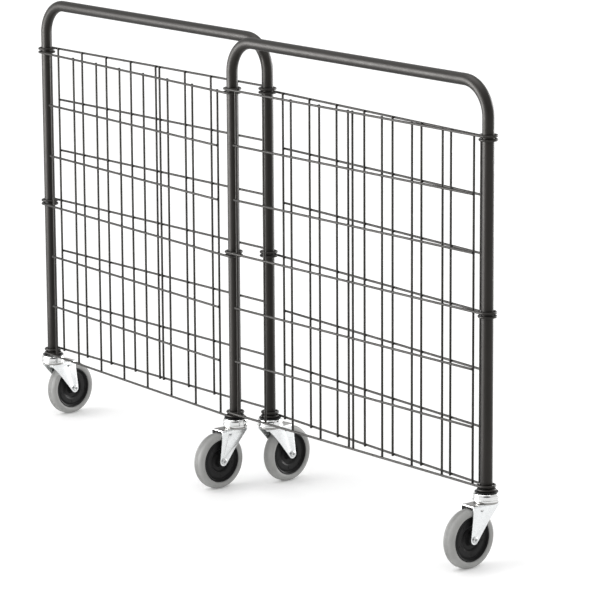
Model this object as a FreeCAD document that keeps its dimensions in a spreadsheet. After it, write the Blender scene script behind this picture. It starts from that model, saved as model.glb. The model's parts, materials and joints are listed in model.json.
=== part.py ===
import FreeCAD, Part
import Sketcher
import math
import os

# Collapsible wire shopping trolley, folded almost flat.
# Two tubular hoops carry one wire end panel each. Two side panels hang on the
# hoops' legs by wire eyes, so the four panels make a parallelogram linkage that
# folds. Each leg stands on a swivel caster with a grey rubber tyre.
#
# Frame: X along the hoops, Y across the folded trolley, Z up. The origin is on
# the floor under the middle of the trolley. Legs: al and ar on hoop a (+Y side),
# bl and br on hoop b (-Y side).

doc = FreeCAD.newDocument("ShoppingTrolley")
sheet = doc.addObject("Spreadsheet::Sheet", "dims")
sheet.Label = "dims"


class D(object):
    """A length with its value and the spreadsheet expression it comes from."""

    def __init__(self, v, e):
        self.v = float(v)
        self.e = e

    def __add__(self, o):
        o = lift(o)
        return D(self.v + o.v, "(%s + %s)" % (self.e, o.e))

    def __radd__(self, o):
        return lift(o) + self

    def __sub__(self, o):
        o = lift(o)
        return D(self.v - o.v, "(%s - %s)" % (self.e, o.e))

    def __rsub__(self, o):
        return lift(o) - self

    def __mul__(self, o):
        o = lift(o)
        return D(self.v * o.v, "(%s * %s)" % (self.e, o.e))

    def __rmul__(self, o):
        return lift(o) * self

    def __truediv__(self, o):
        o = lift(o)
        return D(self.v / o.v, "(%s / %s)" % (self.e, o.e))

    def __neg__(self):
        return D(-self.v, "(-1 * %s)" % self.e)


def lift(o):
    if isinstance(o, D):
        return o
    return D(o, repr(float(o)))


def cosd(a):
    return D(math.cos(math.radians(a.v)), "cos(%s * 1deg)" % a.e)


def sind(a):
    return D(math.sin(math.radians(a.v)), "sin(%s * 1deg)" % a.e)


row = [0]


def cell(alias, value, note):
    row[0] += 1
    sheet.set("A%d" % row[0], note)
    sheet.set("B%d" % row[0], "%g" % value)
    sheet.setAlias("B%d" % row[0], alias)
    return D(value, "dims.%s" % alias)


# ---------------------------------------------------------------- dimensions
end_width = cell("end_width", 820, "leg to leg along a hoop")
side_width = cell("side_width", 770, "leg to leg along a side panel")
fold_angle = cell("fold_angle", 4.18, "angle between side and end panels as folded, degrees")
mesh_pitch = cell("mesh_pitch", 120, "horizontal wire spacing")
eye_level = cell("eye_level", 160.5, "mean height of the bottom eyes over the floor")
eye_split = cell("eye_split", 4.1, "half the height step between stacked eyes")
wire_radius = cell("wire_radius", 2.5, "wire radius")
eye_radius = cell("eye_radius", 17.5, "wire eye centreline radius")
eye_wrap = cell("eye_wrap", 322, "angle an eye wraps round the leg")
weld_step = cell("weld_step", 4.6, "step from horizontal to vertical wire centres")
end_pitch = cell("end_pitch", 93.8, "vertical wire spacing, end panel")
end_pair = cell("end_pair", 14.0, "spacing of the doubled middle wires")
end_lead = cell("end_lead", 27.8, "leg to first vertical, end panel")
side_pitch = cell("side_pitch", 98.9, "vertical wire spacing, side panel")
side_lead = cell("side_lead", 38.85, "leg to first vertical, side panel")
overhang = cell("overhang", 3.0, "wire end past the last crossing")
tube_radius = cell("tube_radius", 12.5, "hoop tube outer radius")
tube_wall = cell("tube_wall", 1.5, "hoop tube wall")
hoop_top = cell("hoop_top", 990, "hoop top tube centreline height")
hoop_bend = cell("hoop_bend", 70, "hoop corner centreline radius")
leg_foot = cell("leg_foot", 153.9, "height of the leg's cut end")
wheel_radius = cell("wheel_radius", 62.5, "wheel radius")
tyre_width = cell("tyre_width", 29, "tyre width")
hub_radius = cell("hub_radius", 47.5, "hub rim radius")
hub_boss = cell("hub_boss", 32.6, "hub boss length")
trail = cell("trail", 50, "swivel axis to wheel axis")
fork_inside = cell("fork_inside", 33.4, "fork gap")
fork_outside = cell("fork_outside", 38.2, "fork width")
crown_low = cell("crown_low", 129, "underside of the fork crown")
crown_top = cell("crown_top", 131.5, "top of the fork crown")
stem_radius = cell("stem_radius", 6, "kingpin radius")
dome_radius = cell("dome_radius", 28.5, "swivel dome radius at its rim")
plug_radius = cell("plug_radius", 22, "plug flange radius")
plug_low = cell("plug_low", 149.5, "underside of the plug flange")
ball_radius = cell("ball_radius", 2.95, "ball radius")
ball_circle = cell("ball_circle", 19, "ball pitch radius")
axle_radius = cell("axle_radius", 4, "axle bolt radius")
sleeve_radius = cell("sleeve_radius", 7, "axle sleeve outer radius")
doc.recompute()

made = []


def bind(obj, prop, d):
    obj.setExpression(prop, d.e)


def place(obj, x, y, z, turn=0.0):
    """Put obj at x, y, z (D values), turned about Z by a number of degrees."""
    obj.Placement = FreeCAD.Placement(
        FreeCAD.Vector(x.v, y.v, z.v),
        FreeCAD.Rotation(FreeCAD.Vector(0, 0, 1), turn))
    for axis, d in (("x", x), ("y", y), ("z", z)):
        bind(obj, "Placement.Base.%s" % axis, d)


def origin_plane(body, role):
    for f in body.Origin.OriginFeatures:
        if f.Role == role:
            return f
    raise RuntimeError(role)


def new_body(label):
    body = doc.addObject("PartDesign::Body", label)
    body.Label = label
    made.append(body)
    return body


def new_sketch(body, plane, offset=None):
    """offset is a D along the plane's normal."""
    s = body.newObject("Sketcher::SketchObject", "sketch")
    s.AttachmentSupport = [(origin_plane(body, plane), "")]
    s.MapMode = "FlatFace"
    if offset is not None:
        s.AttachmentOffset = FreeCAD.Placement(
            FreeCAD.Vector(0, 0, offset.v), FreeCAD.Rotation())
        s.setExpression("AttachmentOffset.Base.z", offset.e)
    return s


def pin_point(s, geo, pos, x, y):
    """Fix one point of the sketch at x, y (D values), bound to the sheet."""
    for axis, d in (("x", x), ("y", y)):
        if abs(d.v) < 1e-9:
            s.addConstraint(Sketcher.Constraint(
                "PointOnObject", geo, pos, -2 if axis == "x" else -1))
        else:
            n = s.addConstraint(Sketcher.Constraint(
                "DistanceX" if axis == "x" else "DistanceY",
                -1, 1, geo, pos, d.v))
            s.setExpression("Constraints[%d]" % n, d.e)


def polygon(s, pts):
    """A closed outline through pts, each a pair of D values or numbers."""
    pts = [(lift(x), lift(y)) for x, y in pts]
    n = len(pts)
    first = s.GeometryCount
    for i in range(n):
        a, b = pts[i], pts[(i + 1) % n]
        s.addGeometry(Part.LineSegment(
            FreeCAD.Vector(a[0].v, a[1].v, 0),
            FreeCAD.Vector(b[0].v, b[1].v, 0)), False)
    for i in range(n):
        s.addConstraint(Sketcher.Constraint(
            "Coincident", first + i, 2, first + (i + 1) % n, 1))
    for i in range(n):
        pin_point(s, first + i, 1, pts[i][0], pts[i][1])


def circle(s, x, y, r):
    x, y, r = lift(x), lift(y), lift(r)
    g = s.addGeometry(Part.Circle(
        FreeCAD.Vector(x.v, y.v, 0), FreeCAD.Vector(0, 0, 1), r.v), False)
    n = s.addConstraint(Sketcher.Constraint("Radius", g, r.v))
    s.setExpression("Constraints[%d]" % n, r.e)
    if abs(x.v) < 1e-9 and abs(y.v) < 1e-9:
        s.addConstraint(Sketcher.Constraint("Coincident", g, 3, -1, 1))
    else:
        pin_point(s, g, 3, x, y)


def revolve(body, s, axis="V_Axis", label="revolution"):
    f = body.newObject("PartDesign::Revolution", label)
    f.Profile = s
    f.ReferenceAxis = (s, [axis])
    f.Angle = 360
    return f


def pad(body, s, length, symmetric=False, reverse=False, label="pad"):
    f = body.newObject("PartDesign::Pad", label)
    f.Profile = s
    length = lift(length)
    f.Length = length.v
    bind(f, "Length", length)
    if symmetric:
        f.SideType = "Symmetric"
    f.Reversed = reverse
    return f


def pocket(body, s, length, symmetric=False, reverse=False, label="pocket"):
    f = body.newObject("PartDesign::Pocket", label)
    f.Profile = s
    length = lift(length)
    f.Length = length.v
    bind(f, "Length", length)
    if symmetric:
        f.SideType = "Symmetric"
    f.Reversed = reverse
    return f


def hexagon(s, across):
    """A regular hexagon about the sketch origin, across flats."""
    r = lift(across) / 2.0 / math.cos(math.radians(30))
    pts = []
    for k in range(6):
        a = math.radians(60 * k)
        pts.append((r * round(math.cos(a), 9), r * round(math.sin(a), 9)))
    polygon(s, pts)


# ------------------------------------------------------- where the legs stand
half_x = (end_width + side_width * cosd(fold_angle)) / 2.0
half_y = side_width * sind(fold_angle) / 2.0
LEGS = {
    "al": (-half_x, half_y),
    "ar": (end_width - half_x, half_y),
    "bl": (half_x - end_width, -half_y),
    "br": (half_x, -half_y),
}
CASTER_TURN = {"al": 94.0, "ar": 94.0, "bl": 271.5, "br": 271.5}
HEAD_SIDE = {"al": -1, "ar": -1, "bl": 1, "br": 1}
zero = lift(0)


# -------------------------------------------------------------------- hoops
def hoop(label, leg, turn):
    """A steel tube bent into a hoop: leg up, across, and leg down."""
    body = new_body(label)
    path = new_sketch(body, "XZ_Plane")
    w = end_width
    top = hoop_top
    r = hoop_bend
    v = FreeCAD.Vector
    path.addGeometry(Part.LineSegment(v(0, leg_foot.v, 0), v(0, top.v - r.v, 0)), False)
    path.addGeometry(Part.ArcOfCircle(
        Part.Circle(v(r.v, top.v - r.v, 0), v(0, 0, 1), r.v),
        math.pi / 2, math.pi), False)
    path.addGeometry(Part.LineSegment(v(r.v, top.v, 0), v(w.v - r.v, top.v, 0)), False)
    path.addGeometry(Part.ArcOfCircle(
        Part.Circle(v(w.v - r.v, top.v - r.v, 0), v(0, 0, 1), r.v),
        0, math.pi / 2), False)
    path.addGeometry(Part.LineSegment(v(w.v, top.v - r.v, 0), v(w.v, leg_foot.v, 0)), False)
    path.addConstraint(Sketcher.Constraint("Coincident", 0, 2, 1, 2))
    path.addConstraint(Sketcher.Constraint("Coincident", 1, 1, 2, 1))
    path.addConstraint(Sketcher.Constraint("Coincident", 2, 2, 3, 2))
    path.addConstraint(Sketcher.Constraint("Coincident", 3, 1, 4, 1))
    pin_point(path, 0, 1, zero, leg_foot)
    pin_point(path, 0, 2, zero, top - r)
    pin_point(path, 2, 1, r, top)
    pin_point(path, 2, 2, w - r, top)
    pin_point(path, 4, 1, w, top - r)
    pin_point(path, 4, 2, w, leg_foot)
    for g in (1, 3):
        n = path.addConstraint(Sketcher.Constraint("Radius", g, r.v))
        path.setExpression("Constraints[%d]" % n, r.e)
    ring = new_sketch(body, "XY_Plane", leg_foot)
    circle(ring, 0, 0, tube_radius)
    circle(ring, 0, 0, tube_radius - tube_wall)
    pipe = body.newObject("PartDesign::AdditivePipe", "bent_tube")
    pipe.Profile = ring
    pipe.Spine = (path, ["Edge%d" % k for k in range(1, 6)])
    pipe.Mode = "Standard"
    pipe.Transition = "Transformed"
    place(body, leg[0], leg[1], zero, turn)
    return body


# ------------------------------------------------------------------- panels
def bar(x, y, z, length, along, radius=None):
    """A straight wire: along x or z from its start point."""
    c = doc.addObject("Part::Cylinder", "wire")
    r = radius or wire_radius
    c.Radius = r.v
    c.Height = length.v
    bind(c, "Radius", r)
    bind(c, "Height", length)
    rot = FreeCAD.Rotation(FreeCAD.Vector(0, 1, 0), 90) if along == "x" else FreeCAD.Rotation()
    c.Placement = FreeCAD.Placement(FreeCAD.Vector(x.v, y.v, z.v), rot)
    for axis, d in (("x", x), ("y", y), ("z", z)):
        bind(c, "Placement.Base.%s" % axis, d)
    return c


def eye(x, z, start, flip):
    """A wire eye: an open ring round a leg that the wire runs into."""
    t = doc.addObject("Part::Torus", "eye")
    t.Radius1 = eye_radius.v
    t.Radius2 = wire_radius.v
    t.Angle1 = -180
    t.Angle2 = 180
    t.Angle3 = eye_wrap.v
    bind(t, "Radius1", eye_radius)
    bind(t, "Radius2", wire_radius)
    bind(t, "Angle3", eye_wrap)
    ang = start if not flip else start - eye_wrap.v
    t.Placement = FreeCAD.Placement(
        FreeCAD.Vector(x.v, 0, z.v),
        FreeCAD.Rotation(FreeCAD.Vector(0, 0, 1), ang))
    bind(t, "Placement.Base.x", x)
    bind(t, "Placement.Base.z", z)
    return t


def panel(suffix, width, columns, level, leg, turn):
    """A welded wire panel that hangs on two legs by its long wires' eyes.
    Local frame: x from the first leg to the second, y outwards."""
    # upright wires and the short level wires between them
    wires = []
    low = level + eye_level - overhang
    tall = mesh_pitch * 6.0 + overhang * 2.0
    inner = eye_radius - weld_step
    for x in columns:
        wires.append(bar(x, inner, low, tall, "z"))
    for k in (1, 2, 4, 5):
        start = columns[0] - overhang
        wires.append(bar(start, eye_radius, level + eye_level + mesh_pitch * float(k),
                         columns[-1] + overhang - start, "x"))
    mesh = doc.addObject("Part::MultiFuse", "mesh_" + suffix)
    mesh.Label = "mesh_" + suffix
    mesh.Shapes = wires
    place(mesh, leg[0], leg[1], zero, turn)
    made.append(mesh)
    # the three long wires with an eye at each end
    parts = []
    for k in (0, 3, 6):
        z = level + eye_level + mesh_pitch * float(k)
        parts.append(bar(zero, eye_radius, z, width, "x"))
        parts.append(eye(zero, z, 90, False))
        parts.append(eye(width, z, 90, True))
    rails = doc.addObject("Part::MultiFuse", "eye_wires_" + suffix)
    rails.Label = "eye_wires_" + suffix
    rails.Shapes = parts
    place(rails, leg[0], leg[1], zero, turn)
    made.append(rails)


end_columns = [end_lead + end_pitch * float(k) for k in range(5)]
end_columns += [end_lead + end_pitch * float(k) + end_pair for k in range(4, 9)]
side_columns = [side_lead + side_pitch * float(k) for k in range(8)]


# ------------------------------------------------------- plug in a leg's foot
def tube_plug(leg):
    body = new_body("tube_plug_" + leg)
    s = new_sketch(body, "XZ_Plane")
    bore = stem_radius + 0.05
    shank = tube_radius - tube_wall - 0.05
    head = leg_foot - 0.2
    polygon(s, [
        (bore, plug_low), (plug_radius + 1.0, plug_low), (plug_radius + 0.6, plug_low + 1.4),
        (plug_radius - 8.0, head), (shank, head), (shank, leg_foot + 36.0),
        (shank - 1.6, leg_foot + 38.0), (bore, leg_foot + 38.0)])
    revolve(body, s)
    place(body, LEGS[leg][0], LEGS[leg][1], zero, CASTER_TURN[leg])


# ------------------------------------------------------------------- casters
def stem(leg):
    """Kingpin bolt: hexagon head under the crown, shank up through the plug."""
    body = new_body("kingpin_" + leg)
    s = new_sketch(body, "XZ_Plane")
    polygon(s, [(0, crown_low - 8.0), (stem_radius, crown_low - 8.0),
                (stem_radius, leg_foot + 46.5), (stem_radius - 1.0, leg_foot + 48.0),
                (0, leg_foot + 48.0)])
    revolve(body, s)
    hs = new_sketch(body, "XY_Plane", crown_low - 8.0)
    hexagon(hs, 18)
    pad(body, hs, 7.8)
    place(body, LEGS[leg][0], LEGS[leg][1], zero, CASTER_TURN[leg])


def stem_nut(leg):
    body = new_body("kingpin_nut_" + leg)
    s = new_sketch(body, "XY_Plane", leg_foot + 38.1)
    hexagon(s, 18)
    circle(s, 0, 0, stem_radius + 0.02)
    pad(body, s, 8.0)
    place(body, LEGS[leg][0], LEGS[leg][1], zero, CASTER_TURN[leg])


def dome(leg):
    """Pressed zinc dust cover over the ball race."""
    body = new_body("swivel_dome_" + leg)
    s = new_sketch(body, "XZ_Plane")
    bore = stem_radius + 0.03
    r = dome_radius
    top = plug_low - 0.1
    polygon(s, [
        (r, crown_top + 2.6), (r, crown_top + 6.0), (r - 1.2, crown_top + 9.2),
        (r - 4.2, crown_top + 12.8), (r - 7.6, crown_top + 15.8), (r - 10.0, top),
        (bore, top), (bore, top - 1.8),
        (r - 11.0, top - 1.8), (r - 9.0, crown_top + 14.4),
        (r - 6.1, crown_top + 11.7), (r - 3.1, crown_top + 8.3),
        (r - 2.0, crown_top + 5.4), (r - 2.0, crown_top + 2.6)])
    revolve(body, s)
    place(body, LEGS[leg][0], LEGS[leg][1], zero, CASTER_TURN[leg])


def upper_cup(leg):
    """Upper ball cup with its spacer tube, under the dome."""
    body = new_body("upper_race_" + leg)
    s = new_sketch(body, "XZ_Plane")
    bore = stem_radius + 0.03
    z = crown_top + 2.5 + ball_radius * 2.0 + 0.15
    top = plug_low - 2.0
    polygon(s, [(bore, z), (22.5, z), (22.5, z + 2.2), (10.0, z + 2.2),
                (10.0, top), (bore, top)])
    revolve(body, s)
    place(body, LEGS[leg][0], LEGS[leg][1], zero, CASTER_TURN[leg])


def balls(leg):
    spheres = []
    for k in range(12):
        a = math.radians(30 * k + 15)
        b = doc.addObject("Part::Sphere", "ball")
        b.Radius = ball_radius.v
        bind(b, "Radius", ball_radius)
        x = ball_circle * round(math.cos(a), 9)
        y = ball_circle * round(math.sin(a), 9)
        z = crown_top + 2.5 + ball_radius + 0.07
        b.Placement = FreeCAD.Placement(FreeCAD.Vector(x.v, y.v, z.v), FreeCAD.Rotation())
        for axis, d in (("x", x), ("y", y), ("z", z)):
            bind(b, "Placement.Base.%s" % axis, d)
        spheres.append(b)
    c = doc.addObject("Part::Compound", "balls_" + leg)
    c.Label = "race_balls_" + leg
    c.Links = spheres
    place(c, LEGS[leg][0], LEGS[leg][1], zero, CASTER_TURN[leg])
    made.append(c)


def fork(leg):
    """Pressed steel fork: a crown disc and two tapered legs to the axle."""
    body = new_body("caster_fork_" + leg)
    # side outline of crown and legs, as one block
    s = new_sketch(body, "XZ_Plane")
    z0 = wheel_radius
    x0 = trail
    polygon(s, [
        (x0 - 7.8, z0 - 6.3), (x0 + 9.94, z0 + 1.2), (x0 + 3.5, crown_top - 14.5),
        (x0 + 3.2, crown_top - 3.0), (x0 + 1.0, crown_top), (-14.0, crown_top),
        (-16.5, crown_top - 3.0), (-12.0, crown_top - 10.5), (2.5, crown_top - 26.5),
        (12.0, crown_top - 38.0)])
    pad(body, s, fork_outside, symmetric=True, label="block")
    # rounded tips at the axle
    t = new_sketch(body, "XZ_Plane")
    circle(t, x0, z0, 10.0)
    pad(body, t, fork_outside, symmetric=True, label="tips")
    # the gap for the wheel
    g = new_sketch(body, "XZ_Plane")
    polygon(g, [(-40.0, z0 - 30.0), (x0 + 40.0, z0 - 30.0),
                (x0 + 40.0, crown_low), (-40.0, crown_low)])
    pocket(body, g, fork_inside, symmetric=True, label="wheel_gap")
    # round crown with the lower ball track
    c = new_sketch(body, "XY_Plane", crown_low)
    circle(c, 0, 0, 25.5)
    pad(body, c, crown_top - crown_low + 2.5, label="lower_race")
    # front edge of the crown, turned down between the legs
    lip = new_sketch(body, "XZ_Plane")
    polygon(lip, [
        (x0 - 4.0, crown_low), (x0 - 4.0, crown_top), (x0 + 0.5, crown_top),
        (x0 + 2.9, crown_top - 1.6), (x0 + 3.4, crown_top - 4.3),
        (x0 + 1.2, crown_top - 4.3), (x0 + 0.6, crown_low)])
    pad(body, lip, 34.4, symmetric=True, label="lip")
    # bore for the kingpin
    b = new_sketch(body, "XY_Plane", crown_top + 10.0)
    circle(b, 0, 0, stem_radius + 0.08)
    pocket(body, b, 30.0, label="kingpin_bore")
    # axle holes
    a = new_sketch(body, "XZ_Plane")
    circle(a, x0, z0, axle_radius + 0.05)
    pocket(body, a, fork_outside + 4.0, symmetric=True, label="axle_holes")
    # slot pressed through both legs
    w = new_sketch(body, "XZ_Plane")
    polygon(w, [(27.8, crown_top - 12.75), (32.8, crown_top - 12.75),
                (34.3, crown_top - 11.0), (32.8, crown_top - 9.25),
                (27.8, crown_top - 9.25), (26.3, crown_top - 11.0)])
    pocket(body, w, fork_outside + 4.0, symmetric=True, label="slots")
    place(body, LEGS[leg][0], LEGS[leg][1], zero, CASTER_TURN[leg])
    return body


def wheel_place(obj, leg):
    """Put a piece made about the origin on the wheel's axis."""
    a = CASTER_TURN[leg]
    cx, sx = round(math.cos(math.radians(a)), 9), round(math.sin(math.radians(a)), 9)
    place(obj, LEGS[leg][0] + trail * cx, LEGS[leg][1] + trail * sx, wheel_radius, a)


def axle_bolt(leg):
    side = HEAD_SIDE[leg]
    body = new_body("axle_bolt_" + leg)
    s = new_sketch(body, "XY_Plane")
    r = axle_radius
    f = fork_outside / 2.0
    pts = [(0, -f - 8.5), (r - 0.7, -f - 8.5), (r, -f - 7.8), (r, f + 0.05),
           (6.6, f + 0.05), (6.6, f + 2.2), (5.6, f + 3.3), (0, f + 3.3)]
    polygon(s, [(x, lift(y) * float(side)) for x, y in pts])
    revolve(body, s)
    h = new_sketch(body, "XZ_Plane")
    hexagon(h, 5)
    # the socket is cut from the head's outer face inwards
    h.AttachmentOffset = FreeCAD.Placement(
        FreeCAD.Vector(0, 0, -side * (f.v + 5.0)), FreeCAD.Rotation())
    pocket(body, h, 3.6, reverse=(side > 0), label="socket")
    wheel_place(body, leg)
    return body


def axle_nut(leg):
    side = HEAD_SIDE[leg]
    body = new_body("axle_nut_" + leg)
    f = fork_outside / 2.0 + 0.05
    s = new_sketch(body, "XZ_Plane")
    hexagon(s, 13)
    circle(s, 0, 0, axle_radius + 0.02)
    s.AttachmentOffset = FreeCAD.Placement(
        FreeCAD.Vector(0, 0, side * f.v), FreeCAD.Rotation())
    s.setExpression("AttachmentOffset.Base.z", (f * float(side)).e)
    pad(body, s, 6.5, reverse=(side < 0))
    wheel_place(body, leg)


def axle_sleeve(leg):
    body = new_body("axle_sleeve_" + leg)
    s = new_sketch(body, "XY_Plane")
    g = fork_inside / 2.0 - 0.05
    polygon(s, [(axle_radius + 0.05, -g), (sleeve_radius, -g),
                (sleeve_radius, g), (axle_radius + 0.05, g)])
    revolve(body, s)
    wheel_place(body, leg)


def hub(leg):
    """Black plastic hub: rim, dished web and a long boss."""
    body = new_body("wheel_hub_" + leg)
    s = new_sketch(body, "XY_Plane")
    b = hub_boss / 2.0
    r = hub_radius
    bore = sleeve_radius + 0.06
    half = [(bore, b), (11.2, b), (12.6, 8.0), (14.0, 3.4), (23.5, 3.0), (26.0, 6.2),
            (40.0, 8.6), (r - 4.6, 11.4), (r - 1.6, 12.2), (r, 11.4)]
    pts = [(lift(x), lift(y)) for x, y in half]
    polygon(s, pts + [(x, -y) for x, y in reversed(pts)])
    revolve(body, s)
    wheel_place(body, leg)


def tyre(leg):
    body = new_body("tyre_" + leg)
    s = new_sketch(body, "XY_Plane")
    r = wheel_radius
    q = hub_radius + 0.02
    t = tyre_width / 2.0
    half = [(q, 11.4), (q + 1.6, t - 1.6), (q + 4.0, t - 0.4), (q + 7.0, t),
            (r - 5.4, t - 0.6), (r - 3.0, t - 2.0), (r - 1.2, t - 4.4),
            (r - 0.3, t - 8.0), (r, t - 11.5)]
    pts = [(lift(x), lift(y)) for x, y in half]
    polygon(s, pts + [(x, -y) for x, y in reversed(pts)])
    revolve(body, s)
    wheel_place(body, leg)


# --------------------------------------------------------------------- build
hoop("hoop_a", LEGS["al"], 0.0)
hoop("hoop_b", LEGS["br"], 180.0)
panel("end_a", end_width, end_columns, eye_split, LEGS["al"], 0.0)
panel("end_b", end_width, end_columns, eye_split, LEGS["br"], 180.0)
panel("side_left", side_width, side_columns, -eye_split, LEGS["bl"], 180.0 - fold_angle.v)
panel("side_right", side_width, side_columns, -eye_split, LEGS["ar"], -fold_angle.v)
for leg in ("al", "ar", "bl", "br"):
    tube_plug(leg)
    stem(leg)
    stem_nut(leg)
    dome(leg)
    upper_cup(leg)
    balls(leg)
    fork(leg)
    axle_bolt(leg)
    axle_nut(leg)
    axle_sleeve(leg)
    hub(leg)
    tyre(leg)

doc.recompute()
bad = [o.Name for o in doc.Objects if "Invalid" in o.State or "Error" in o.State]
if bad:
    raise RuntimeError("features that failed: %s" % ", ".join(bad))
for obj in made:
    shape = obj.Shape
    if shape.isNull() or not shape.isValid() or not shape.Solids:
        raise RuntimeError("bad shape: %s" % obj.Label)
# the axle holes, bores and sockets must have removed material
for obj in doc.Objects:
    if obj.TypeId == "PartDesign::Pocket" and obj.BaseFeature is not None:
        if obj.Shape.Volume >= obj.BaseFeature.Shape.Volume - 0.01:
            raise RuntimeError("%s of %s cut nothing" % (obj.Label, obj.getParentGeoFeatureGroup().Label))

os.makedirs("parts", exist_ok=True)
for obj in made:
    obj.Shape.exportStep("parts/%s.step" % obj.Label)
    print(obj.Label, len(obj.Shape.Solids), round(obj.Shape.Volume / 1000.0, 2), "cm3")
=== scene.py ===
import json
import math

import bmesh
import bpy
import numpy as np
from mathutils import Matrix, Vector


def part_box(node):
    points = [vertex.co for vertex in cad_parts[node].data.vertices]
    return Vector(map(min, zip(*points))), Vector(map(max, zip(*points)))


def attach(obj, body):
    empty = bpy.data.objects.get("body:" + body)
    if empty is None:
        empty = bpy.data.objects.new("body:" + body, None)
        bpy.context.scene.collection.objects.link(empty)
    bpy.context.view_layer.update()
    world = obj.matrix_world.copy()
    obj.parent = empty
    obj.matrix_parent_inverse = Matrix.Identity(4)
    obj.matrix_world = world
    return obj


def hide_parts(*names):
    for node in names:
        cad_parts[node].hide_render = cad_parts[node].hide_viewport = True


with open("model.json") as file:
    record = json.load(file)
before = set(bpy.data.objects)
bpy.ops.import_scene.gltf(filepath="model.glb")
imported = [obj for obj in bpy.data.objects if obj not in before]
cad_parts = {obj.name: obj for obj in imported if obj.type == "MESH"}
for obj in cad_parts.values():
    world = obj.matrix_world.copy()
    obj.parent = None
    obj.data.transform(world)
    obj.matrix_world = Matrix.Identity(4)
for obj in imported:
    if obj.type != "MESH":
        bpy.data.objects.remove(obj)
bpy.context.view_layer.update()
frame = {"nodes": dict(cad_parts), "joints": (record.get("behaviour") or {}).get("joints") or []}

MM = 0.001

# ------------------------------------------------------------ where things are
J = {j["name"]: j for j in frame["joints"]}
LEGS = ("al", "ar", "bl", "br")
POST = {leg: Vector(J["swivel_" + leg]["pos_m"]) for leg in LEGS}
AXLE = {leg: Vector(J["wheel_spin_" + leg]["pos_m"]) for leg in LEGS}


def caster_frame(leg):
    """Matrix from a caster's own frame (x along the trail, z up, origin on the
    floor under the swivel axis) to the row frame."""
    p = POST[leg]
    d = AXLE[leg] - p
    d.z = 0
    d.normalize()
    n = Vector((-d.y, d.x, 0))
    return Matrix(((d.x, n.x, 0, p.x), (d.y, n.y, 0, p.y), (0, 0, 1, 0), (0, 0, 0, 1)))


def wheel_frame(leg):
    """Matrix from a wheel's own frame (z along the axle, origin at its centre)."""
    m = caster_frame(leg)
    d, n = m.to_3x3().col[0], m.to_3x3().col[1]
    a = AXLE[leg]
    up = Vector((0, 0, 1))
    x = d
    z = n
    y = z.cross(x)
    return Matrix(((x.x, y.x, z.x, a.x), (x.y, y.y, z.y, a.y), (x.z, y.z, z.z, a.z), (0, 0, 0, 1)))


def panel_frame(first, second):
    """x from the first leg to the second, y outwards, z up; origin on the floor."""
    a, b = POST[first], POST[second]
    d = (b - a)
    d.z = 0
    w = d.length
    d.normalize()
    n = Vector((-d.y, d.x, 0))
    return Matrix(((d.x, n.x, 0, a.x), (d.y, n.y, 0, a.y), (0, 0, 1, 0), (0, 0, 0, 1))), w


# ------------------------------------------------------------------ materials
def nodes_of(name):
    m = bpy.data.materials.new(name)
    m.use_nodes = True
    nt = m.node_tree
    for n in list(nt.nodes):
        nt.nodes.remove(n)
    out = nt.nodes.new("ShaderNodeOutputMaterial")
    b = nt.nodes.new("ShaderNodeBsdfPrincipled")
    nt.links.new(b.outputs["BSDF"], out.inputs["Surface"])
    return m, nt, b


def noise(nt, co, scale, detail=2.0, rough=0.5, distortion=0.0):
    n = nt.nodes.new("ShaderNodeTexNoise")
    n.inputs["Scale"].default_value = scale
    n.inputs["Detail"].default_value = detail
    n.inputs["Roughness"].default_value = rough
    n.inputs["Distortion"].default_value = distortion
    nt.links.new(co, n.inputs["Vector"])
    return n.outputs["Fac"]


def ramp(nt, fac, stops):
    r = nt.nodes.new("ShaderNodeValToRGB")
    el = r.color_ramp.elements
    el[0].position, el[0].color = stops[0][0], (*stops[0][1], 1)
    el[1].position, el[1].color = stops[-1][0], (*stops[-1][1], 1)
    for p, c in stops[1:-1]:
        e = el.new(p)
        e.color = (*c, 1)
    nt.links.new(fac, r.inputs["Fac"])
    return r.outputs["Color"]


def span(nt, fac, lo, hi):
    """Maps 0..1 noise to lo..hi."""
    r = nt.nodes.new("ShaderNodeMapRange")
    r.inputs["From Min"].default_value = 0.25
    r.inputs["From Max"].default_value = 0.75
    r.inputs["To Min"].default_value = lo
    r.inputs["To Max"].default_value = hi
    nt.links.new(fac, r.inputs["Value"])
    return r.outputs["Result"]


def bump(nt, b, height, strength, distance):
    n = nt.nodes.new("ShaderNodeBump")
    n.inputs["Strength"].default_value = strength
    n.inputs["Distance"].default_value = distance
    nt.links.new(height, n.inputs["Height"])
    nt.links.new(n.outputs["Normal"], b.inputs["Normal"])
    return n


def mix(nt, fac, a, b_):
    n = nt.nodes.new("ShaderNodeMix")
    n.data_type = "RGBA"
    nt.links.new(fac, n.inputs["Factor"])
    for sock, v in ((n.inputs[6], a), (n.inputs[7], b_)):
        if isinstance(v, tuple):
            sock.default_value = (*v, 1)
        else:
            nt.links.new(v, sock)
    return n.outputs[2]


def math_node(nt, op, a, b_=None):
    n = nt.nodes.new("ShaderNodeMath")
    n.operation = op
    for i, v in enumerate((a, b_)):
        if v is None:
            continue
        if isinstance(v, (int, float)):
            n.inputs[i].default_value = v
        else:
            nt.links.new(v, n.inputs[i])
    return n.outputs[0]


def coords(nt):
    t = nt.nodes.new("ShaderNodeTexCoord")
    return t.outputs["Object"]


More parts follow.
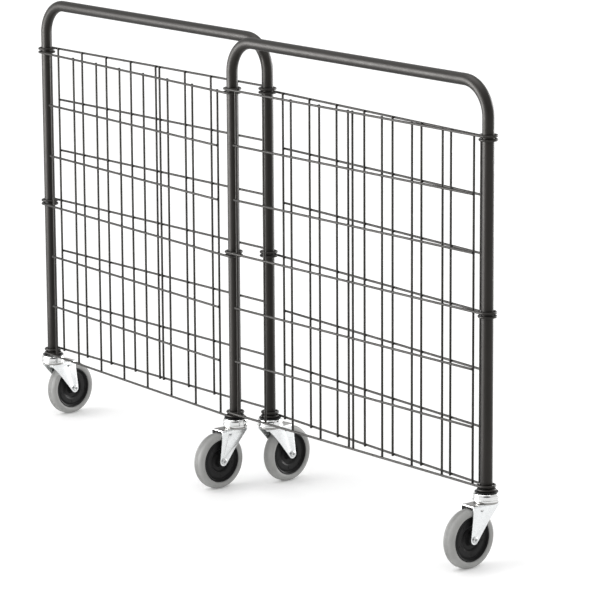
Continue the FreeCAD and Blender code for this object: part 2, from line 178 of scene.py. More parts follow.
def powder_coat(name, dark, light, rough=(0.34, 0.44), orange=0.14, spec=0.5):
    """Anthracite powder coat: fine orange peel, slight tone drift, a few pale specks."""
    m, nt, b = nodes_of(name)
    co = coords(nt)
    drift = noise(nt, co, 9.0, 3.0)
    fine = noise(nt, co, 900.0, 2.0)
    tone = ramp(nt, drift, [(0.3, dark), (0.7, light)])
    speck = ramp(nt, fine, [(0.66, (0, 0, 0)), (0.74, (1, 1, 1))])
    sp = math_node(nt, "MULTIPLY", speck, 0.22)
    col = mix(nt, sp, tone, tuple(min(1.0, c * 3.2) for c in light))
    nt.links.new(col, b.inputs["Base Color"])
    nt.links.new(span(nt, noise(nt, co, 60.0, 3.0), *rough), b.inputs["Roughness"])
    b.inputs["Specular IOR Level"].default_value = spec
    b.inputs["IOR"].default_value = 1.52
    b.inputs["Specular Tint"].default_value = (1.0, 0.965, 0.93, 1.0)
    peel = noise(nt, co, 420.0, 2.0, 0.55)
    bump(nt, b, peel, orange, 0.0006)
    return m


def zinc(name, base=(0.80, 0.82, 0.84), rough=(0.20, 0.32), brushed=0.06, cloudy=0.88):
    """Bright zinc plating: cool metal with faint clouding and fine press marks."""
    m, nt, b = nodes_of(name)
    co = coords(nt)
    cloud = noise(nt, co, 45.0, 4.0, 0.6)
    a = tuple(c * cloudy for c in base)
    col = ramp(nt, cloud, [(0.32, a), (0.68, base)])
    nt.links.new(col, b.inputs["Base Color"])
    b.inputs["Metallic"].default_value = 1.0
    nt.links.new(span(nt, noise(nt, co, 130.0, 4.0, 0.6), *rough), b.inputs["Roughness"])
    st = nt.nodes.new("ShaderNodeMapping")
    st.inputs["Scale"].default_value = (1.0, 1.0, 0.12)
    nt.links.new(co, st.inputs["Vector"])
    bump(nt, b, noise(nt, st.outputs["Vector"], 1600.0, 2.0), brushed, 0.0004)
    return m


def moulded(name, dark, light, rough=(0.38, 0.5), grain=0.12, scale=1400.0, spec=0.5):
    m, nt, b = nodes_of(name)
    co = coords(nt)
    col = ramp(nt, noise(nt, co, 30.0, 3.0), [(0.3, dark), (0.7, light)])
    nt.links.new(col, b.inputs["Base Color"])
    nt.links.new(span(nt, noise(nt, co, 90.0, 3.0), *rough), b.inputs["Roughness"])
    b.inputs["IOR"].default_value = 1.49
    b.inputs["Specular IOR Level"].default_value = spec
    bump(nt, b, noise(nt, co, scale, 2.0), grain, 0.0003)
    return m


def rubber(name):
    """Light grey non-marking rubber: chalky, faint scuffs, fine pores."""
    m, nt, b = nodes_of(name)
    co = coords(nt)
    cloud = noise(nt, co, 26.0, 4.0, 0.6)
    col = ramp(nt, cloud, [(0.3, (0.262, 0.262, 0.254)), (0.5, (0.29, 0.29, 0.282)), (0.72, (0.318, 0.318, 0.31))])
    scuff_n = noise(nt, co, 210.0, 5.0, 0.7, 0.6)
    scuff = ramp(nt, scuff_n, [(0.60, (0, 0, 0)), (0.72, (1, 1, 1))])
    col2 = mix(nt, math_node(nt, "MULTIPLY", scuff, 0.35), col, (0.18, 0.177, 0.17))
    nt.links.new(col2, b.inputs["Base Color"])
    nt.links.new(span(nt, noise(nt, co, 70.0, 3.0), 0.55, 0.72), b.inputs["Roughness"])
    b.inputs["IOR"].default_value = 1.5
    bump(nt, b, noise(nt, co, 1100.0, 3.0), 0.18, 0.0004)
    return m


M_TUBE = powder_coat("powder_coat_tube", (0.0100, 0.0090, 0.0078), (0.0145, 0.0130, 0.0112), rough=(0.42, 0.52), spec=0.24)
M_WIRE = powder_coat("powder_coat_wire", (0.0085, 0.0078, 0.0068), (0.0125, 0.0115, 0.0100), rough=(0.42, 0.54), orange=0.10, spec=0.28)
M_ZINC = zinc("bright_zinc", base=(0.80, 0.815, 0.82), rough=(0.22, 0.30), brushed=0.02, cloudy=0.93)
# zinc darkened for the crown's flat and race disc: a painted dark reflection, not the plating's own colour
M_CROWN_PAINTED_REFLECTION = zinc("zinc_crown_painted_reflection", base=(0.34, 0.335, 0.325), rough=(0.24, 0.36), brushed=0.05, cloudy=0.72)
# near-black zinc for the crown's front lip: a painted dark reflection, not the plating's own colour
M_LIP_PAINTED_REFLECTION = zinc("zinc_lip_painted_reflection", base=(0.016, 0.0155, 0.015), rough=(0.30, 0.42), brushed=0.05, cloudy=0.75)
M_DOME = zinc("zinc_dome", base=(0.74, 0.745, 0.74), rough=(0.12, 0.19), brushed=0.03, cloudy=0.90)
M_BOLT = zinc("zinc_bolt", base=(0.62, 0.63, 0.63), rough=(0.25, 0.38), brushed=0.1)
M_BALL = zinc("bearing_steel", base=(0.55, 0.53, 0.50), rough=(0.12, 0.2), brushed=0.02)
M_HUB = moulded("hub_black", (0.0085, 0.0085, 0.0086), (0.0120, 0.0120, 0.0122), rough=(0.38, 0.50), spec=0.17)
M_PLUG = moulded("plug_black", (0.004, 0.004, 0.004), (0.007, 0.007, 0.007), rough=(0.42, 0.55), spec=0.25)
M_TYRE = rubber("grey_tyre")


# ---------------------------------------------------------------- mesh helpers
def make(name, verts, faces, mat, matrix=None, sharp=38.0, slot=None):
    me = bpy.data.meshes.new(name)
    me.from_pydata([tuple(v) for v in verts], [], [tuple(f) for f in faces])
    ob = bpy.data.objects.new(name, me)
    bpy.context.scene.collection.objects.link(ob)
    if matrix is not None:
        me.transform(matrix)
    finish_mesh(ob, sharp)
    me.materials.append(mat)
    return ob


def finish_mesh(ob, sharp=38.0):
    bm = bmesh.new()
    bm.from_mesh(ob.data)
    bmesh.ops.remove_doubles(bm, verts=bm.verts, dist=1e-7)
    bmesh.ops.recalc_face_normals(bm, faces=bm.faces)
    for f in bm.faces:
        f.smooth = True
    lim = math.radians(sharp)
    for e in bm.edges:
        if len(e.link_faces) == 2:
            e.smooth = e.calc_face_angle(0.0) < lim
    bm.to_mesh(ob.data)
    bm.free()


def join(name, parts):
    """Joins mesh objects into one, keeping materials."""
    vs, fs, mats, mi = [], [], [], []
    base = 0
    bm = bmesh.new()
    for p in parts:
        for m in p.data.materials:
            if m not in mats:
                mats.append(m)
        start = len(bm.faces)
        bm.from_mesh(p.data)
        bm.faces.ensure_lookup_table()
        idx = [mats.index(m) for m in p.data.materials]
        for k in range(start, len(bm.faces)):
            f = bm.faces[k]
            f.material_index = idx[f.material_index] if f.material_index < len(idx) else idx[0]
    me = bpy.data.meshes.new(name)
    bm.to_mesh(me)
    bm.free()
    for m in mats:
        me.materials.append(m)
    ob = bpy.data.objects.new(name, me)
    bpy.context.scene.collection.objects.link(ob)
    for p in parts:
        old = p.data
        bpy.data.objects.remove(p)
        bpy.data.meshes.remove(old)
    return ob


def sweep(points, r, segs=16, ends=None):
    """A round tube along points, closed with slightly rounded ends.
    Returns verts, faces. ends = rounding length at both tips."""
    P = [Vector(p) for p in points]
    n = len(P)
    T = []
    for i in range(n):
        if i == 0:
            t = P[1] - P[0]
        elif i == n - 1:
            t = P[-1] - P[-2]
        else:
            t = (P[i + 1] - P[i]).normalized() + (P[i] - P[i - 1]).normalized()
        T.append(t.normalized())
    up = Vector((0, 0, 1)) if abs(T[0].z) < 0.9 else Vector((1, 0, 0))
    u = T[0].cross(up).normalized()
    rings = []
    e = ends if ends is not None else r * 0.35
    prof = []
    for i in range(n):
        if i:
            ax = T[i - 1].cross(T[i])
            if ax.length > 1e-9:
                u = Matrix.Rotation(T[i - 1].angle(T[i]), 3, ax.normalized()) @ u
            u = (u - T[i] * u.dot(T[i])).normalized()
        v = T[i].cross(u)
        prof.append((P[i], u.copy(), v.copy(), T[i]))
    seq = []
    c, uu, vv, tt = prof[0]
    for k in (0, 1, 2):
        a = math.radians(90 - 30 * k)
        seq.append((c + tt * e * (1 - math.sin(a)), uu, vv, r - e + e * math.cos(a)))
    seq.append((c + tt * e, uu, vv, r))
    for q in prof[1:-1]:
        seq.append((q[0], q[1], q[2], r))
    c, uu, vv, tt = prof[-1]
    seq.append((c - tt * e, uu, vv, r))
    for k in (2, 1, 0):
        a = math.radians(90 - 30 * k)
        seq.append((c - tt * e * (1 - math.sin(a)), uu, vv, r - e + e * math.cos(a)))
    verts, faces = [], []
    for c, uu, vv, rr in seq:
        for k in range(segs):
            a = 2 * math.pi * k / segs
            verts.append(c + uu * (rr * math.cos(a)) + vv * (rr * math.sin(a)))
    m = len(seq)
    for i in range(m - 1):
        for k in range(segs):
            k2 = (k + 1) % segs
            faces.append((i * segs + k, i * segs + k2, (i + 1) * segs + k2, (i + 1) * segs + k))
    faces.append(tuple(range(segs)))
    faces.append(tuple((m - 1) * segs + k for k in reversed(range(segs))))
    return verts, faces


def merge(lists):
    verts, faces = [], []
    for v, f in lists:
        b = len(verts)
        verts += list(v)
        faces += [tuple(i + b for i in q) for q in f]
    return verts, faces


def ellipsoid(c, rx, ry, rz, nu=12, nv=8):
    verts, faces = [], []
    verts.append(Vector((c[0], c[1], c[2] + rz)))
    for j in range(1, nv):
        a = math.pi * j / nv
        for i in range(nu):
            b = 2 * math.pi * i / nu
            verts.append(Vector((c[0] + rx * math.sin(a) * math.cos(b), c[1] + ry * math.sin(a) * math.sin(b), c[2] + rz * math.cos(a))))
    verts.append(Vector((c[0], c[1], c[2] - rz)))
    last = len(verts) - 1
    for i in range(nu):
        faces.append((0, 1 + i, 1 + (i + 1) % nu))
    for j in range(nv - 2):
        for i in range(nu):
            a0 = 1 + j * nu + i
            a1 = 1 + j * nu + (i + 1) % nu
            faces.append((a0, a0 + nu, a1 + nu, a1))
    b = 1 + (nv - 2) * nu
    for i in range(nu):
        faces.append((b + i, last, b + (i + 1) % nu))
    return verts, faces


def round2d(pts, n=5):
    """pts: (x, y, radius). Returns a closed outline with rounded corners."""
    out = []
    m = len(pts)
    for i in range(m):
        p = Vector(pts[i][:2])
        a = Vector(pts[i - 1][:2])
        b = Vector(pts[(i + 1) % m][:2])
        r = pts[i][2] if len(pts[i]) > 2 else 0
        if r <= 0:
            out.append(p)
            continue
        da, db = (a - p), (b - p)
        la, lb = da.length, db.length
        da.normalize(); db.normalize()
        ang = da.angle(db)
        d = min(r / math.tan(ang / 2), la * 0.49, lb * 0.49)
        rr = d * math.tan(ang / 2)
        c = p + (da + db).normalized() * (rr / math.sin(ang / 2))
        s = p + da * d - c
        e = p + db * d - c
        th = s.angle(e)
        sign = 1 if (s.x * e.y - s.y * e.x) > 0 else -1
        for k in range(n + 1):
            t = sign * th * k / n
            out.append(c + Vector((s.x * math.cos(t) - s.y * math.sin(t), s.x * math.sin(t) + s.y * math.cos(t))))
    return out


def open2d(pts, n=5):
    """The same for an open line: the ends stay."""
    out = [Vector(pts[0][:2])]
    for i in range(1, len(pts) - 1):
        tri = [(*pts[i - 1][:2], 0), pts[i], (*pts[i + 1][:2], 0)]
        r = round2d(tri, n)
        out += r[1:-1] if len(pts[i]) > 2 and pts[i][2] > 0 else [Vector(pts[i][:2])]
    out.append(Vector(pts[-1][:2]))
    return out


def lathe(profile, segs=72, closed=False):
    """Revolves (r, z) points about z. closed joins last to first (a ring)."""
    verts, faces, rows = [], [], []
    for r, z in profile:
        if r < 1e-7:
            rows.append([len(verts)])
            verts.append(Vector((0, 0, z)))
        else:
            rows.append(list(range(len(verts), len(verts) + segs)))
            for k in range(segs):
                a = 2 * math.pi * k / segs
                verts.append(Vector((r * math.cos(a), r * math.sin(a), z)))
    m = len(rows)
    pairs = [(i, i + 1) for i in range(m - 1)] + ([(m - 1, 0)] if closed else [])
    for i, j in pairs:
        a, b = rows[i], rows[j]
        for k in range(segs):
            k2 = (k + 1) % segs
            if len(a) == 1 and len(b) == 1:
                continue
            if len(a) == 1:
                faces.append((a[0], b[k], b[k2]))
            elif len(b) == 1:
                faces.append((a[k], b[0], a[k2]))
            else:
                faces.append((a[k], b[k], b[k2], a[k2]))
    return verts, faces


def prism(outline, lo, hi, axis="y"):
    """A straight extrusion of a 2-D outline. axis y: outline is (x, z); z: (x, y); x: (y, z)."""
    def at(p, t):
        if axis == "y":
            return Vector((p[0], t, p[1]))
        if axis == "z":
            return Vector((p[0], p[1], t))
        return Vector((t, p[0], p[1]))
    n = len(outline)
    verts = [at(p, lo) for p in outline] + [at(p, hi) for p in outline]
    faces = [tuple(range(n)), tuple(n + k for k in reversed(range(n)))]
    for k in range(n):
        k2 = (k + 1) % n
        faces.append((k, k2, n + k2, n + k))
    return verts, faces


def scaled(vf, k=MM):
    return [v * k for v in vf[0]], vf[1]


def boolean(a, b, op):
    m = a.modifiers.new("bool", "BOOLEAN")
    m.operation = op
    m.object = b
    m.solver = "EXACT"
    bake(a)
    old = b.data
    bpy.data.objects.remove(b)
    bpy.data.meshes.remove(old)


def bake(ob):
    """Applies the object's modifiers to its mesh."""
    dg = bpy.context.evaluated_depsgraph_get()
    ev = ob.evaluated_get(dg)
    me = bpy.data.meshes.new_from_object(ev)
    old = ob.data
    ob.modifiers.clear()
    ob.data = me
    bpy.data.meshes.remove(old)


def bevel(ob, width, segments=2, angle=35.0):
    m = ob.modifiers.new("bevel", "BEVEL")
    m.width = width
    m.segments = segments
    m.limit_method = "ANGLE"
    m.angle_limit = math.radians(angle)
    m.harden_normals = False
    m.use_clamp_overlap = True
    bake(ob)


# ----------------------------------------------------------------------- hoops
def hoop(tag, first, second):
    lo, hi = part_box("hoop_" + tag)
    m, w = panel_frame(first, second)
    r = 0.0125
    z0, z1, bend = lo.z, hi.z - r, 0.070
    pts = [(0, 0, z0)]
    pts += [(0, 0, z0 + (z1 - bend - z0) * k / 8) for k in range(1, 9)]
    for k in range(1, 19):
        a = math.radians(90 * k / 18)
        pts.append((bend - bend * math.cos(a), 0, z1 - bend + bend * math.sin(a)))
    pts += [(bend + (w - 2 * bend) * k / 8, 0, z1) for k in range(1, 9)]
    for k in range(1, 19):
        a = math.radians(90 * k / 18)
        pts.append((w - bend + bend * math.sin(a), 0, z1 - bend + bend * math.cos(a)))
    pts += [(w, 0, z1 - bend - (z1 - bend - z0) * k / 8) for k in range(1, 9)]
    v, f = sweep(pts, r, 40, ends=0.0012)
    ob = make("tube_hoop_" + tag, v, f, M_TUBE, m, slot="powder_coat_frame")
    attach(ob, "frame_" + tag)
    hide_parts("hoop_" + tag)


# ---------------------------------------------------------------------- panels
WIRE = 2.5
EYE = 17.5
STEP = 4.6


def panel(node, first, second, columns, body):
    """Round wires, pressed-in weld nuggets and closed eyes, all in the CAD's places."""
    m, w = panel_frame(first, second)
    W = w / MM
    lo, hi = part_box("eye_wires_" + node)
    zb = lo.z / MM + WIRE
    zt = hi.z / MM - WIRE
    pitch = (zt - zb) / 6.0
    inner = EYE - STEP
    wires = []
    weld = []
    for x in columns:
        wires.append(sweep([(x, inner, zb - 3.0), (x, inner, zb + pitch), (x, inner, zb + 3 * pitch),
                            (x, inner, zb + 5 * pitch), (x, inner, zt + 3.0)], WIRE, 16, 0.5))
    for k in (1, 2, 4, 5):
        z = zb + pitch * k
        wires.append(sweep([(columns[0] - 3.0, EYE, z), (W / 3, EYE, z), (2 * W / 3, EYE, z),
                            (columns[-1] + 3.0, EYE, z)], WIRE, 16, 0.5))
    for x in columns:
        for k in range(7):
            weld.append(ellipsoid((x, EYE - STEP / 2, zb + pitch * k), 2.9, 1.25, 2.9))
    v, f = scaled(merge(wires + weld))
    grid = make("wires_" + node, v, f, M_WIRE, m, slot="powder_coat_wire")
    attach(grid, body)
    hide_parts("mesh_" + node)
    long_wires = []
    for k in (0, 3, 6):
        z = zb + pitch * k
        pts = []
        n = 54
        for i in range(n + 1):
            a = math.radians(90 + 322.0 * (n - i) / n)
            pts.append((EYE * math.cos(a), EYE * math.sin(a), z))
        pts += [(W * t / 6.0, EYE, z) for t in range(1, 6)]
        for i in range(n + 1):
            a = math.radians(90 - 322.0 * i / n)
            pts.append((W + EYE * math.cos(a), EYE * math.sin(a), z))
        long_wires.append(sweep(pts, WIRE, 16, 0.5))
        # the eye's tip is tacked to the wire
        for cx, s in ((0.0, 1.0), (W, -1.0)):
            a = math.radians(90 + 322.0 * s)
            tip = (cx + EYE * math.cos(a), EYE * math.sin(a))
            long_wires.append(ellipsoid((tip[0] + s * 0.6, (tip[1] + EYE) / 2 + 0.2, z), 3.2, 2.1, 2.1))
    v, f = scaled(merge(long_wires))
    rails = make("rails_" + node, v, f, M_WIRE, m, slot="powder_coat_wire")
    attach(rails, body)
    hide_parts("eye_wires_" + node)


# --------------------------------------------------------------------- casters
def tube_plug(leg):
    lo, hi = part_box("tube_plug_" + leg)
    m = caster_frame(leg)
    z0, z1 = lo.z / MM + 2.3, hi.z / MM
    R = (hi.x - lo.x) / 2 / MM + 1.6
    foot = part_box("hoop_" + leg[0])[0].z / MM - 0.2
    prof = [(6.05, z0, 0), (R - 1.0, z0, 0), (R, z0 + 0.45, 0.4), (R - 0.5, z0 + 1.05, 0.5),
            (R - 9.5, foot, 0.8), (10.95, foot, 0), (10.95, z1 - 2, 0), (9.4, z1, 0), (6.05, z1, 0)]
    v, f = scaled(lathe(round2d(prof, 4), 64, closed=True))
    ob = make("plug_" + leg, v, f, M_PLUG, m, slot="black_plastic")
    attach(ob, "frame_" + leg[0])
    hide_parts("tube_plug_" + leg)


def dome(leg):
    lo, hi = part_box("swivel_dome_" + leg)
    m = caster_frame(leg)
    z0, z1 = lo.z / MM, hi.z / MM + 2.25
    R = (hi.x - lo.x) / 2 / MM
    # a short drum with a rolled rim, a bead at half height and a small shoulder
    prof = [(R - 1.9, z0, 0), (R - 0.8, z0, 0.5), (R, z0 + 0.9, 0.7), (R - 0.1, z0 + 3.4, 1.2), (R - 0.9, z0 + 4.6, 1.0),
            (R - 1.1, z0 + 11.6, 3.0), (R - 2.6, z0 + 15.2, 2.4), (R - 6.4, z1 - 0.2, 2.0),
            (R - 9.6, z1, 1.2), (6.1, z1, 0), (6.1, z1 - 1.5, 0), (R - 9.9, z1 - 1.5, 0.6),
            (R - 6.6, z0 + 15.6, 1.5), (R - 4.1, z0 + 13.8, 1.5), (R - 2.6, z0 + 11.2, 1.5), (R - 2.3, z0 + 2.6, 1.0)]
    v, f = scaled(lathe(round2d(prof, 5), 80, closed=True))
    ob = make("dome_" + leg, v, f, M_DOME, m, slot="zinc_pressing")
    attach(ob, "frame_" + leg[0])
    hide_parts("swivel_dome_" + leg)


def fork(leg):
    """Pressed fork: bent channel cut to its side outline, slots, holes, lip and race."""
    m = caster_frame(leg)
    T, L = 131.5, 129.0
    ax, az = 50.0, 62.5
    sec = [(-19.1, 30, 0), (-19.1, T, 4.2), (19.1, T, 4.2), (19.1, 30, 0),
           (16.7, 30, 0), (16.7, L, 2.0), (-16.7, L, 2.0), (-16.7, 30, 0)]
    chan = make("f1", *scaled(prism(round2d(sec, 6), -22, 66, "x")), M_ZINC)
    side = [(ax + 9.94, az + 1.2, 0), (ax + 3.5, T - 14.5, 0), (ax + 3.3, T + 3.0, 0), (-19.0, T + 3.0, 0),
            (-17.5, T - 6.0, 3.0), (-12.0, T - 11.5, 6.0), (2.5, T - 27.0, 10.0), (12.0, T - 38.0, 14.0), (ax - 7.8, az - 6.3, 0)]
    tip = []
    for k in range(0, 17):
        a = math.radians(219 + 148.0 * k / 16)
        tip.append((ax + 10.0 * math.cos(a), az + 10.0 * math.sin(a)))
    body = round2d(side, 8)[1:-1]
    outline = [Vector(p) for p in tip] + body
    cut = make("f2", *scaled(prism(outline, -26, 26, "y")), M_ZINC)
    boolean(chan, cut, "INTERSECT")
    # slot and axle hole through both legs
    sl = []
    for cx, a0 in ((32.3, -90), (28.3, 90)):
        for k in range(9):
            a = math.radians(a0 + 180.0 * k / 8)
            sl.append((cx + 1.75 * math.cos(a), T - 11.0 + 1.75 * math.sin(a)))
    boolean(chan, make("f3", *scaled(prism(sl, -26, 26, "y")), M_ZINC), "DIFFERENCE")
    hole = [(ax + 4.05 * math.cos(math.radians(a)), az + 4.05 * math.sin(math.radians(a))) for a in range(0, 360, 12)]
    boolean(chan, make("f4", *scaled(prism(hole, -26, 26, "y")), M_ZINC), "DIFFERENCE")
    bevel(chan, 0.45 * MM, 2)
    finish_mesh(chan, 30)
    # crown disc with a rolled rim and the ball track, in zinc darkened as a painted dark reflection
    disc = [(6.1, L - 0.1, 0), (24.2, L - 0.1, 0.8), (25.5, L + 1.6, 0.8), (25.5, T + 2.5, 0.8), (22.9, T + 2.5, 0.4), (22.2, T + 0.9, 0.5),
            (16.0, T + 0.9, 0.5), (15.2, T + 2.3, 0.4), (6.1, T + 2.3, 0)]
    race = make("f5", *scaled(lathe(round2d(disc, 4), 72, closed=True)), M_CROWN_PAINTED_REFLECTION)
    # the flat of the crown, inside its bright bent edges, takes zinc darkened as a painted dark reflection
    chan.data.materials.append(M_CROWN_PAINTED_REFLECTION)
    for f in chan.data.polygons:
        if f.normal.z > 0.98 and f.center.z > (T - 0.3) * MM:
            f.material_index = 1
    # front edge of the crown, rolled down between the legs, in near-black zinc as a painted dark reflection
    lip_line = open2d([(ax - 2.5, T - 1.25), (ax + 2.6, T - 1.25, 2.4), (ax + 2.6, T - 4.2)], 7)
    half = 16.9
    pts, fcs = [], []
    th = 1.22
    nr = len(lip_line)
    ys = [-half, -half * 0.5, 0.0, half * 0.5, half]
    nc = len(ys)
    for layer in (0, 1):
        for i, p in enumerate(lip_line):
            q0 = lip_line[max(0, i - 1)]
            q1 = lip_line[min(nr - 1, i + 1)]
            tg = (q1 - q0).normalized()
            nrm = Vector((-tg.y, tg.x))
            off = nrm * (th if layer == 0 else -th)
            for y in ys:
                pts.append(Vector((p.x + off.x, y, p.y + off.y)))

    def at(lay, i, j):
        return lay * nr * nc + i * nc + j
    for i in range(nr - 1):
        for j in range(nc - 1):
            fcs.append((at(0, i, j), at(0, i, j + 1), at(0, i + 1, j + 1), at(0, i + 1, j)))
            fcs.append((at(1, i, j), at(1, i + 1, j), at(1, i + 1, j + 1), at(1, i, j + 1)))
    for i in range(nr - 1):
        for j in (0, nc - 1):
            fcs.append((at(0, i, j), at(0, i + 1, j), at(1, i + 1, j), at(1, i, j)))
    for j in range(nc - 1):
        for i in (0, nr - 1):
            fcs.append((at(0, i, j), at(0, i, j + 1), at(1, i, j + 1), at(1, i, j)))
    lip = make("f6", *scaled((pts, fcs)), M_LIP_PAINTED_REFLECTION)
    ob = join("fork_" + leg, [chan, race, lip])
    ob.data.transform(m)
    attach(ob, "caster_" + leg)
    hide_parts("caster_fork_" + leg)


def hexagon(across, rot=0.0):
    r = across / 2 / math.cos(math.radians(30))
    return [(r * math.cos(math.radians(60 * k + rot)), r * math.sin(math.radians(60 * k + rot))) for k in range(6)]


def axle(leg):
    """Bolt with a low round socket head, and a chamfered nut with a washer face."""
    lo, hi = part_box("axle_bolt_" + leg)
    w = wheel_frame(leg)
    n = w.to_3x3().col[2]
    # the head is on the side that the CAD bolt reaches least
    c = (lo + hi) / 2
    side = -1.0 if (c - AXLE[leg]).dot(n) > 0 else 1.0
    flip = Matrix.Scale(side, 4, Vector((0, 0, 1))) if side < 0 else Matrix.Identity(4)
    f = 19.1
    prof = [(0, -f - 8.5, 0), (3.3, -f - 8.5, 0), (4.0, -f - 7.8, 0), (4.0, f + 0.05, 0), (6.6, f + 0.05, 0),
            (6.6, f + 2.4, 0.5), (5.4, f + 3.3, 0.6), (3.1, f + 3.3, 0.3), (2.9, f + 2.9, 0.2), (2.9, f + 0.6, 0), (0, f + 0.4, 0)]
    v, fc = lathe(open2d(prof, 4), 48)
    bolt = make("bolt_" + leg, *scaled((v, fc)), M_BOLT)
    # hexagon socket wall inside the head
    ring_o = [(2.95 * math.cos(math.radians(a)), 2.95 * math.sin(math.radians(a))) for a in range(0, 360, 10)]
    hexr = hexagon(4.6)
    def on_hex(a):
        t = (a % 60) - 30
        return 2.3 / math.cos(math.radians(t))
    inner = [(on_hex(a) * math.cos(math.radians(a)), on_hex(a) * math.sin(math.radians(a))) for a in range(0, 360, 10)]
    k = len(ring_o)
    vs = [Vector((p[0], p[1], f + 3.2)) for p in ring_o] + [Vector((p[0], p[1], f + 3.1)) for p in inner] \
        + [Vector((p[0], p[1], f + 0.5)) for p in inner] + [Vector((p[0], p[1], f + 0.5)) for p in ring_o]
    fs = []
    for i in range(k):
        j = (i + 1) % k
        for a in range(3):
            fs.append((a * k + i, a * k + j, (a + 1) * k + j, (a + 1) * k + i))
        fs.append((3 * k + i, 3 * k + j, j, i))
    sock = make("sock_" + leg, *scaled((vs, fs)), M_BOLT, sharp=25)
    ob = join("axle_" + leg, [bolt, sock])
    ob.data.transform(w @ flip)
    finish_mesh(ob, 30)
    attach(ob, "caster_" + leg)
    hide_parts("axle_bolt_" + leg)
    # nut
    nut = make("nutx_" + leg, *scaled(prism(hexagon(13), -f - 6.5, -f - 0.05, "z")), M_BOLT)
    cone = [(0, -f - 6.5), (5.9, -f - 6.5), (7.55, -f - 5.5), (7.55, -f - 0.9), (6.4, -f - 0.05), (0, -f - 0.05)]
    boolean(nut, make("nuty_" + leg, *scaled(lathe([Vector(p) for p in cone], 48)), M_BOLT), "INTERSECT")
    bore = [(4.04 * math.cos(math.radians(a)), 4.04 * math.sin(math.radians(a))) for a in range(0, 360, 12)]
    boolean(nut, make("nutz_" + leg, *scaled(prism(bore, -40, 0, "z")), M_BOLT), "DIFFERENCE")
    nut.name = "nut_" + leg
    nut.data.transform(w @ flip)
    finish_mesh(nut, 25)
    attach(nut, "caster_" + leg)
    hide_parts("axle_nut_" + leg)


def wheel(leg):
    w = wheel_frame(leg)
    lo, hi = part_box("wheel_hub_" + leg)
    R = (hi.z - lo.z) / 2 / MM
    b = 16.3
    # hub: rim flange, sloping dish, deeper recess round a long boss
    half = [(7.06, b, 0), (11.0, b, 0.6), (11.6, b - 0.8, 0.4), (12.8, 7.6, 1.5), (14.6, 3.6, 2.0), (22.8, 3.2, 1.8),
            (25.6, 7.0, 1.4), (27.4, 8.0, 0.8), (37.6, 8.4, 2.0), (41.2, 6.8, 1.6), (42.9, 7.2, 0.8), (44.4, 11.7, 0.7),
            (45.7, 12.4, 0.7), (R, 11.4, 0.3)]
    prof = half + [(x, -y, r) for x, y, r in reversed(half)]
    v, f = scaled(lathe(round2d(prof, 4), 96, closed=True))
    hub = make("hub0_" + leg, v, f, M_HUB)
    # small moulded pips on both faces
    parts = [hub]
    for s in (-1, 1):
        for k in range(5):
            a = math.radians(72 * k + 20)
            c = (33.5 * math.cos(a), 33.5 * math.sin(a))
            prof2 = [(0, 8.0 * s), (2.3, 8.0 * s), (2.5, 8.15 * s), (2.5, 8.75 * s), (2.2, 9.0 * s), (0, 9.0 * s)]
            vv, ff = lathe([Vector(p) for p in prof2], 20)
            vv = [x + Vector((c[0], c[1], 0)) for x in vv]
            parts.append(make("pip", *scaled((vv, ff)), M_HUB))
    ob = join("hub_" + leg, parts)
    ob.data.transform(w)
    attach(ob, "wheel_" + leg)
    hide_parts("wheel_hub_" + leg)
    # tyre: rounded crown with fine ribs moulded round it
    lo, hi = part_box("tyre_" + leg)
    O = (hi.z - lo.z) / 2 / MM
    q = R + 0.02
    t = 14.5
    outer = [(q, 11.4, 0), (q + 1.6, t - 1.4, 0.6), (q + 4.0, t - 0.3, 1.4), (q + 6.4, t, 2.0), (O - 6.2, t - 0.6, 3.0),
             (O - 3.6, t - 2.3, 3.0), (O - 1.7, t - 4.9, 3.0), (O - 0.5, t - 8.2, 2.0)]
    side = open2d(outer + [(O, t - 10.2, 0)], 5)
    crown = []
    groove = 0.38
    for k in range(5):
        c = 3.6 - k * 1.8
        crown += [(O - 0.02, c + 0.42), (O - groove, c + 0.22), (O - groove, c - 0.22), (O - 0.02, c - 0.42)]
    prof = list(side) + [Vector(p) for p in crown] + [Vector((p.x, -p.y)) for p in reversed(side)]
    v, f = scaled(lathe(prof, 128, closed=True))
    ty = make("tread_" + leg, v, f, M_TYRE, w, sharp=50, slot="grey_rubber")
    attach(ty, "wheel_" + leg)
    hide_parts("tyre_" + leg)


# ----------------------------------------------------------------------- build
END = [27.8 + 93.8 * k for k in range(5)] + [27.8 + 93.8 * k + 14.0 for k in range(4, 9)]
SIDE = [38.85 + 98.9 * k for k in range(8)]
hoop("a", "al", "ar")
hoop("b", "br", "bl")
panel("end_a", "al", "ar", END, "frame_a")
panel("end_b", "br", "bl", END, "frame_b")
panel("side_left", "bl", "al", SIDE, "side_panel_left")
panel("side_right", "ar", "br", SIDE, "side_panel_right")
for leg in LEGS:
    tube_plug(leg)
    dome(leg)
    fork(leg)
    axle(leg)
    wheel(leg)
CAD_MATS = {"kingpin": M_BOLT, "kingpin_nut": M_BOLT, "upper_race": M_BOLT, "race_balls": M_BALL, "axle_sleeve": M_BALL}
for name, ob in frame["nodes"].items():
    for key, mat in CAD_MATS.items():
        if name.rsplit("_", 1)[0] == key:
            ob.data.materials.clear()
            ob.data.materials.append(mat)

# -------------------------------------------------------------- floor and light
me = bpy.data.meshes.new("floor")
me.from_pydata([(-30, -30, 0), (30, -30, 0), (30, 40, 0), (-30, 40, 0)], [], [(0, 1, 2, 3)])
floor = bpy.data.objects.new("floor", me)
bpy.context.scene.collection.objects.link(floor)
fm, fnt, fb = nodes_of("pale_floor")
fco = coords(fnt)
fcol = ramp(fnt, noise(fnt, fco, 3.0, 3.0), [(0.3, (0.945, 0.945, 0.945)), (0.7, (0.955, 0.955, 0.955))])
fnt.links.new(fcol, fb.inputs["Base Color"])
fb.inputs["Roughness"].default_value = 0.6
fb.inputs["Emission Color"].default_value = (1, 1, 1, 1)
fb.inputs["Emission Strength"].default_value = 0.13
fb.inputs["Specular IOR Level"].default_value = 0.15
me.materials.append(fm)

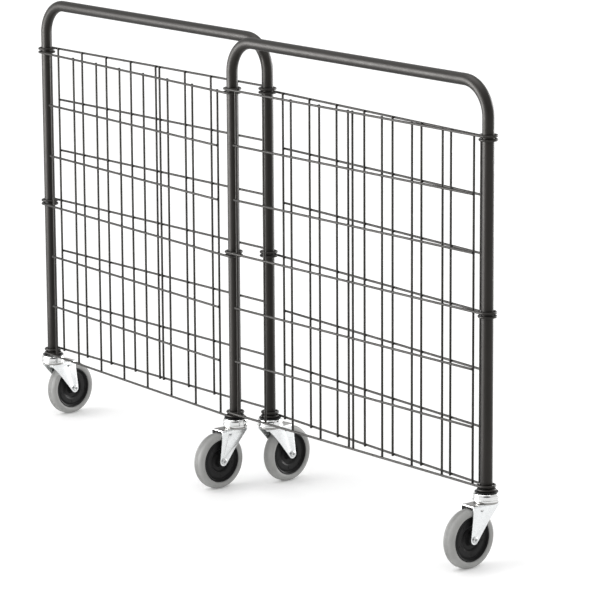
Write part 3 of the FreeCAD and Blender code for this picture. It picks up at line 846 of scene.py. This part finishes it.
world = bpy.data.worlds.new("studio")
bpy.context.scene.world = world
world.use_nodes = True
world.node_tree.nodes["Background"].inputs["Color"].default_value = (1, 1, 1, 1)
world.node_tree.nodes["Background"].inputs["Strength"].default_value = 0.93


def area(name, loc, target, size, power, size_y=None):
    d = bpy.data.lights.new(name, "AREA")
    d.shape = "RECTANGLE"
    d.size = size
    d.size_y = size_y or size
    d.energy = power
    o = bpy.data.objects.new(name, d)
    bpy.context.scene.collection.objects.link(o)
    o.location = loc
    o.rotation_euler = (Vector(target) - Vector(loc)).to_track_quat("-Z", "Y").to_euler()
    return o


# camera at the photograph's viewing angle
yaw, pitch, roll = 0.8828712785347235, 0.21279878932913993, -0.005936216442790664
fwd = Vector((-math.sin(yaw) * math.cos(pitch), math.cos(yaw) * math.cos(pitch), -math.sin(pitch)))
right0 = Vector((math.cos(yaw), math.sin(yaw), 0))
up0 = right0.cross(fwd)
right = right0 * math.cos(roll) + up0 * math.sin(roll)
up = -right0 * math.sin(roll) + up0 * math.cos(roll)
cam_data = bpy.data.cameras.new("camera")
cam = bpy.data.objects.new("camera", cam_data)
bpy.context.scene.collection.objects.link(cam)
loc = Vector((5.944289946345101, -4.748385200505535, 2.0593711))
cam.matrix_world = Matrix(((right.x, up.x, -fwd.x, loc.x), (right.y, up.y, -fwd.y, loc.y), (right.z, up.z, -fwd.z, loc.z), (0, 0, 0, 1)))
cam_data.sensor_width = 36.0
cam_data.lens = 36.0 * 3552.236327249921 / 600.0
cam_data.clip_end = 200.0
bpy.context.scene.camera = cam

# the studio is dark behind the camera: only mirror reflections see that sector
wnt = world.node_tree
wbg = wnt.nodes["Background"]
wtc = wnt.nodes.new("ShaderNodeTexCoord")
wdot = wnt.nodes.new("ShaderNodeVectorMath")
wdot.operation = "DOT_PRODUCT"
back = Vector((-fwd.x, -fwd.y, 0.10)).normalized()
wdot.inputs[1].default_value = back
wnt.links.new(wtc.outputs["Generated"], wdot.inputs[0])
wsec = ramp(wnt, wdot.outputs["Value"], [(0.76, (1, 1, 1)), (0.90, (0.04, 0.039, 0.037))])
wlp = wnt.nodes.new("ShaderNodeLightPath")
wcol = mix(wnt, wlp.outputs["Is Glossy Ray"], (1, 1, 1), wsec)
wnt.links.new(wcol, wbg.inputs["Color"])

# broad sun from the upper left, and two tall soft panels for the tubes' highlights
sun_d = bpy.data.lights.new("sun", "SUN")
sun_d.energy = 0.62
sun_d.angle = math.radians(40)
sun = bpy.data.objects.new("sun", sun_d)
bpy.context.scene.collection.objects.link(sun)
flat = Vector((fwd.x, fwd.y, 0)).normalized()
sun_from = -right0 * 0.85 - flat * 0.1 + Vector((0, 0, 1.25))
sun.rotation_euler = sun_from.to_track_quat("Z", "Y").to_euler()
left = area("panel_left", -right0 * 3.3 - flat * 0.3 + Vector((0, 0, 1.0)), (0, 0, 0.8), 2.4, 330, 2.0)
rightp = area("panel_right", right0 * 3.0 + flat * 1.9 + Vector((0, 0, 1.0)), (0, 0, 0.8), 1.8, 150, 2.0)
topp = area("panel_top", (0, 0, 4.2), (0, 0, 0.5), 3.0, 100, 3.0)
for o in (left, rightp, topp):
    o.visible_camera = False
    o.visible_diffuse = False

bpy.context.scene.view_settings.view_transform = "Standard"
bpy.context.scene.view_settings.look = "None"
bpy.context.scene.view_settings.exposure = 0.0
